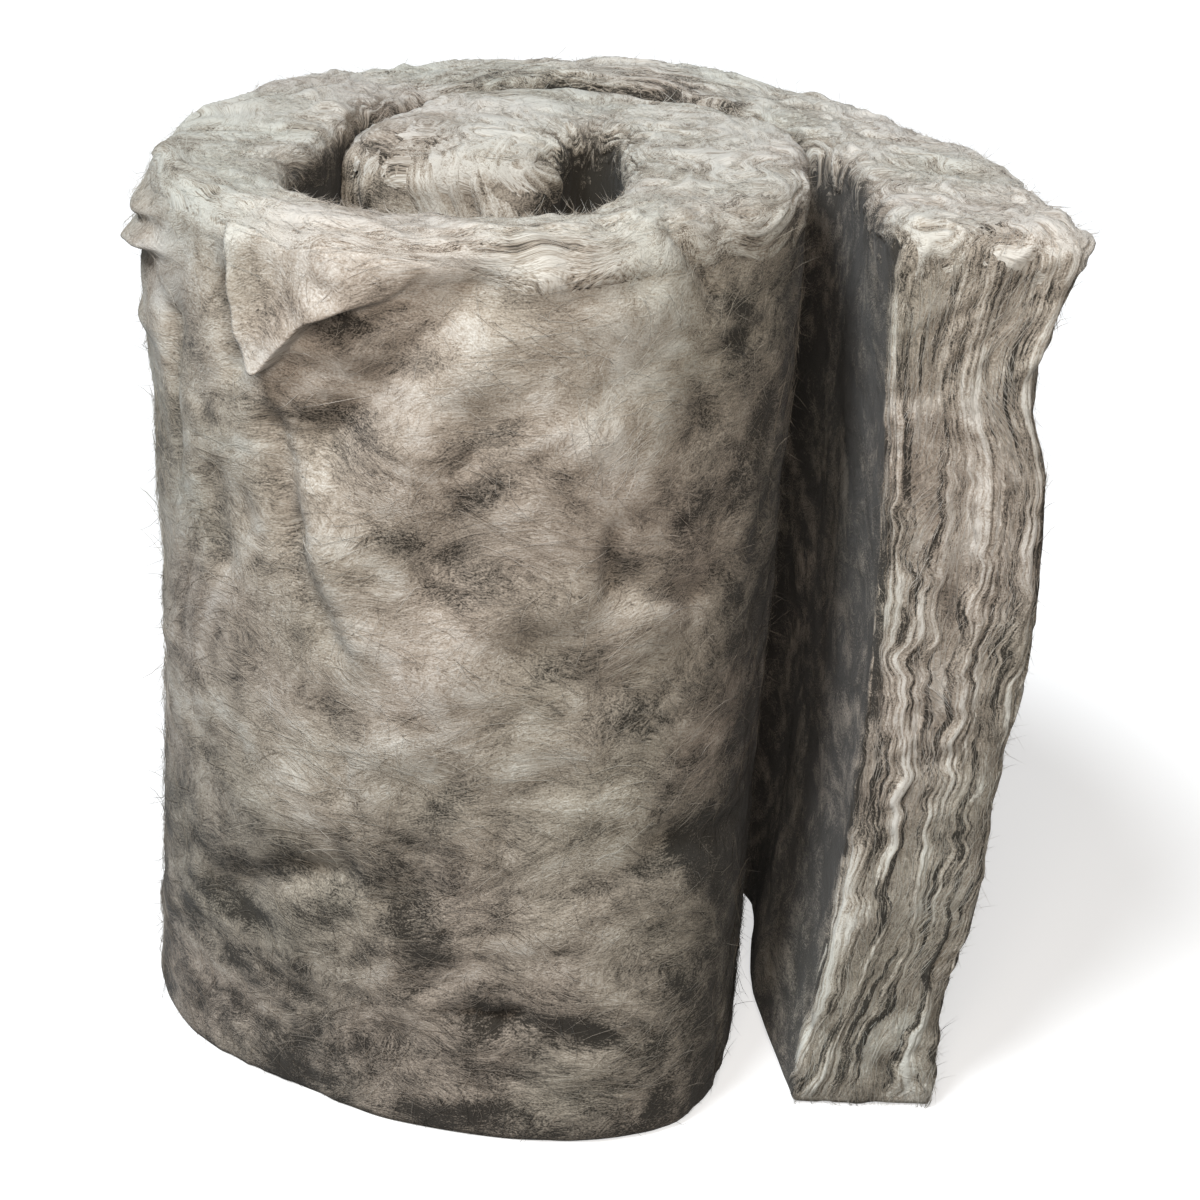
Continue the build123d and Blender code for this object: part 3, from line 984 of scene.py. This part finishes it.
class WOOL_OT_strands(bpy.types.Operator):
    """Scatter loose strands over the drum, the back, the top and the cut end"""

    bl_idname = "wool.strands"
    bl_label = "Loose strands"

    def execute(self, context):
        sizes = context.scene.batt_sizes
        thickness = sizes.fibre_thickness
        batt = Batt(sizes)
        material = strand_material(context.scene.wool_colours)
        draw = np.random.default_rng(60)
        along, across, up = np.eye(3)

        def on_face(name, low, high, seeds):
            """Strands over the outer face between two places along the batt."""
            count = 7000
            starts = np.stack([draw.uniform(low, high, count), np.full(count, batt.high[1]),
                               draw.uniform(0.005, 0.4, count)], 1)
            headings = 1.4 * waves(starts, 0.12, seeds[0]) + draw.normal(0, 0.5, count)
            lengths = draw.uniform(0.006, 0.03, count)
            lifts = 0.001 + 0.006 * draw.uniform(0, 1, count) ** 10
            add_strands(name, batt, thickness, material, starts, (along, up), headings, lengths, lifts,
                        0.0, 0.9, seeds[1])

        on_face("drum_strands", 0.2, 0.66, (61, 62))

        count = 7000
        starts = np.stack([draw.uniform(0, batt.high[0], count),
                           draw.uniform(batt.low[1], batt.high[1], count), np.full(count, ROLL_HEIGHT)], 1)
        headings = 1.2 * waves(starts, 0.05, 63) + draw.normal(0, 0.4, count)
        lengths = draw.uniform(0.008, 0.022, count)
        lifts = 0.001 + 0.005 * draw.uniform(0, 1, count) ** 8
        add_strands("top_strands", batt, thickness, material, starts, (along, across), headings, lengths,
                    lifts, 0.0, 2.2, 64)

        count = 4000
        starts = np.stack([np.full(count, batt.high[0]), draw.uniform(batt.low[1], batt.high[1], count),
                           draw.uniform(0, ROLL_HEIGHT, count)], 1)
        headings = 0.3 * waves(starts, 0.05, 65) + draw.normal(0, 0.15, count)
        lengths = draw.uniform(0.008, 0.03, count)
        lifts = 0.001 + 0.001 * draw.uniform(0, 1, count) ** 4
        add_strands("cut_end_strands", batt, thickness, material, starts, (up, across), headings, lengths,
                    lifts, 0.1, 0.6, 66)

        on_face("back_strands", 0.66, batt.high[0], (67, 68))
        return {"FINISHED"}


class WOOL_OT_stage(bpy.types.Operator):
    """Set the stage: a pale floor, soft lamps and a camera at the viewing angle"""

    bl_idname = "wool.stage"
    bl_label = "Stage"

    camera_place = (0.0075, -1.0497, 0.6415)
    camera_pitch = np.radians(23.5)
    camera_roll = np.radians(3.87)
    camera_lens = 71.1
    key_left = np.radians(46)
    key_height = np.radians(56)
    key_spread = np.radians(18)

    def execute(self, context):
        scene = context.scene
        scene.view_settings.view_transform = "Standard"
        lens = bpy.data.cameras.new("camera")
        lens.lens = self.camera_lens
        lens.sensor_width = 36
        camera = bpy.data.objects.new("camera", lens)
        tilt = Matrix.Rotation(np.pi / 2 - self.camera_pitch, 4, "X")
        roll = Matrix.Rotation(self.camera_roll, 4, "Z")
        camera.matrix_world = Matrix.Translation(self.camera_place) @ tilt @ roll
        scene.collection.objects.link(camera)
        scene.camera = camera
        self.add_floor(scene)
        self.add_sun(scene, "key_light", 2.95, (0.95, 1.0, 1.04))
        self.add_lamp(scene, "front_lamp", (0.05, -1.0, 0.9), 0.5, 8.5, (1, 0.91, 0.82))
        world = bpy.data.worlds.new("studio")
        world.use_nodes = True
        tree = world.node_tree
        background = tree.nodes["Background"]
        background.inputs["Color"].default_value = (1, 1, 1, 1)
        inputs = {"Value": self.seen(tree), "To Min": 0.04, "To Max": 1.0}
        strength = add_node(tree, "ShaderNodeMapRange", inputs)
        tree.links.new(strength.outputs["Result"], background.inputs["Strength"])
        scene.world = world
        return {"FINISHED"}

    def seen(self, tree):
        """1 for rays that show a surface to the camera, straight, mirrored or through glass, and else 0."""
        rays = add_node(tree, "ShaderNodeLightPath")
        camera, glossy, through_glass = (
            rays.outputs[f"Is {kind} Ray"] for kind in ("Camera", "Glossy", "Transmission"))
        return math_node(tree, "MAXIMUM", camera, math_node(tree, "MAXIMUM", glossy, through_glass))

    def add_floor(self, scene):
        """A pale floor of one large square."""
        half = 6.0
        corners = np.array([[-half, -half, 0], [half, -half, 0], [half, half, 0], [-half, half, 0]])
        mesh = bpy.data.meshes.new("floor")
        mesh.from_pydata(corners.tolist(), [], [(0, 1, 2, 3)])
        material = bpy.data.materials.new("pale_floor")
        material.use_nodes = True
        tree = material.node_tree
        shader = tree.nodes["Principled BSDF"]
        seen = self.seen(tree)
        colour = blend_node(tree, seen, (0.15, 0.15, 0.15, 1), (0.6, 0.6, 0.6, 1))
        glow = blend_node(tree, seen, (0, 0, 0, 1), (0.6, 0.6, 0.6, 1))
        tree.links.new(colour, shader.inputs["Base Color"])
        tree.links.new(glow, shader.inputs["Emission Color"])
        shader.inputs["Emission Strength"].default_value = 1.0
        shader.inputs["Roughness"].default_value = 1.0
        mesh.materials.append(material)
        floor = bpy.data.objects.new("floor", mesh)
        scene.collection.objects.link(floor)

    def add_sun(self, scene, name, strength, colour):
        """A broad even light from the left of the front, at the key's height and spread."""
        lamp = bpy.data.lights.new(name, "SUN")
        lamp.angle = self.key_spread
        lamp.energy = strength
        lamp.color = colour
        flat = np.cos(self.key_height)
        left = self.key_left
        place = Vector((-np.sin(left) * flat, -np.cos(left) * flat, np.sin(self.key_height))) * 2
        self.aim(scene, name, lamp, place, Vector((0, 0, 0)))

    def add_lamp(self, scene, name, place, size, power, colour):
        """A square soft lamp that faces the upper part of the drum."""
        lamp = bpy.data.lights.new(name, "AREA")
        lamp.size = size
        lamp.energy = power
        lamp.color = colour
        self.aim(scene, name, lamp, Vector(place), Vector((0, BOX_LOW[1], 0.9 * ROLL_HEIGHT)))

    def aim(self, scene, name, lamp, place, target):
        """Hangs a light at a place so that it faces the target."""
        holder = bpy.data.objects.new(name, lamp)
        turn = (target - place).to_track_quat("-Z", "Y").to_matrix().to_4x4()
        holder.matrix_world = Matrix.Translation(place) @ turn
        scene.collection.objects.link(holder)


class WOOL_PT_roll(bpy.types.Panel):
    """Lists the roll's pieces and its stage"""

    bl_idname = "WOOL_PT_roll"
    bl_label = "Insulation roll"
    bl_space_type = "VIEW_3D"
    bl_region_type = "UI"
    bl_category = "Wool"

    def draw(self, context):
        for operator in STEPS:
            self.layout.operator(operator.bl_idname)


STEPS = (WOOL_OT_batt, WOOL_OT_top_end, WOOL_OT_inner_end, WOOL_OT_cut_end, WOOL_OT_tuft,
         WOOL_OT_strands, WOOL_OT_stage)
GROUPS = {"batt_sizes": BattSizes, "wool_colours": WoolColours}


def register():
    for group in GROUPS.values():
        bpy.utils.register_class(group)
    for name, group in GROUPS.items():
        setattr(bpy.types.Scene, name, bpy.props.PointerProperty(type=group))
    for step in STEPS:
        bpy.utils.register_class(step)
    bpy.utils.register_class(WOOL_PT_roll)


def unregister():
    bpy.utils.unregister_class(WOOL_PT_roll)
    for step in reversed(STEPS):
        bpy.utils.unregister_class(step)
    for name, group in GROUPS.items():
        delattr(bpy.types.Scene, name)
        bpy.utils.unregister_class(group)


def main():
    register()
    bpy.ops.wool.batt()
    bpy.ops.wool.top_end()
    bpy.ops.wool.inner_end()
    bpy.ops.wool.cut_end()
    bpy.ops.wool.tuft()
    bpy.ops.wool.strands()
    bpy.ops.wool.stage()


if __name__ == "__main__":
    main()
